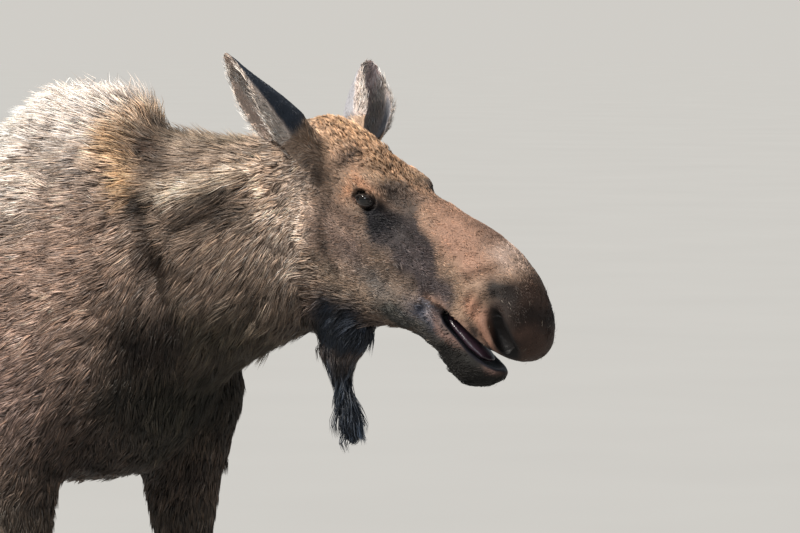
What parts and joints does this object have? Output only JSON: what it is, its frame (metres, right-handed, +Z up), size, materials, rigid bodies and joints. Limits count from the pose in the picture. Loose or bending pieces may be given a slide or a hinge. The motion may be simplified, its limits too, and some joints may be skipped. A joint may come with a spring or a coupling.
{
  "type": "moose",
  "caption": "Life-size still model of a standing cow moose, head lowered and turned a little to its left, mouth slightly open, with long legs, humped shoulders and a hanging bell.",
  "frame": {"origin": "on the floor under the middle of the whole animal's bounding box", "axes": "+X towards the nose, +Y to the animal's left, +Z up"},
  "size_m": [2.6986, 0.5988, 1.915],
  "materials": {
    "coat": "coarse grey-brown hair",
    "face_coat": "short reddish-brown hair, darker and velvety on the muzzle",
    "dark_hair": "long blackish hair",
    "tongue": "moist, soft",
    "eye": "glossy, dark brown",
    "hoof": "satin dark horn"
  },
  "bodies": {
    "root": {"tongue": "tongue", "eye_right": "eye", "eye_left": "eye", "ear_left": "coat", "ear_right": "coat", "bell": "dark_hair", "lower_jaw": "face_coat", "head": "face_coat", "neck": "coat", "tail": "coat", "trunk": "coat", "foreleg_left": "coat", "foreleg_left_claw_inner": "hoof", "foreleg_left_claw_outer": "hoof", "foreleg_left_dewclaw_inner": "hoof", "foreleg_left_dewclaw_outer": "hoof", "foreleg_right": "coat", "foreleg_right_claw_inner": "hoof", "foreleg_right_claw_outer": "hoof", "foreleg_right_dewclaw_inner": "hoof", "foreleg_right_dewclaw_outer": "hoof", "hindleg_left": "coat", "hindleg_left_claw_inner": "hoof", "hindleg_left_claw_outer": "hoof", "hindleg_left_dewclaw_inner": "hoof", "hindleg_left_dewclaw_outer": "hoof", "hindleg_right": "coat", "hindleg_right_claw_inner": "hoof", "hindleg_right_claw_outer": "hoof", "hindleg_right_dewclaw_inner": "hoof", "hindleg_right_dewclaw_outer": "hoof"}
  },
  "joints": []
}
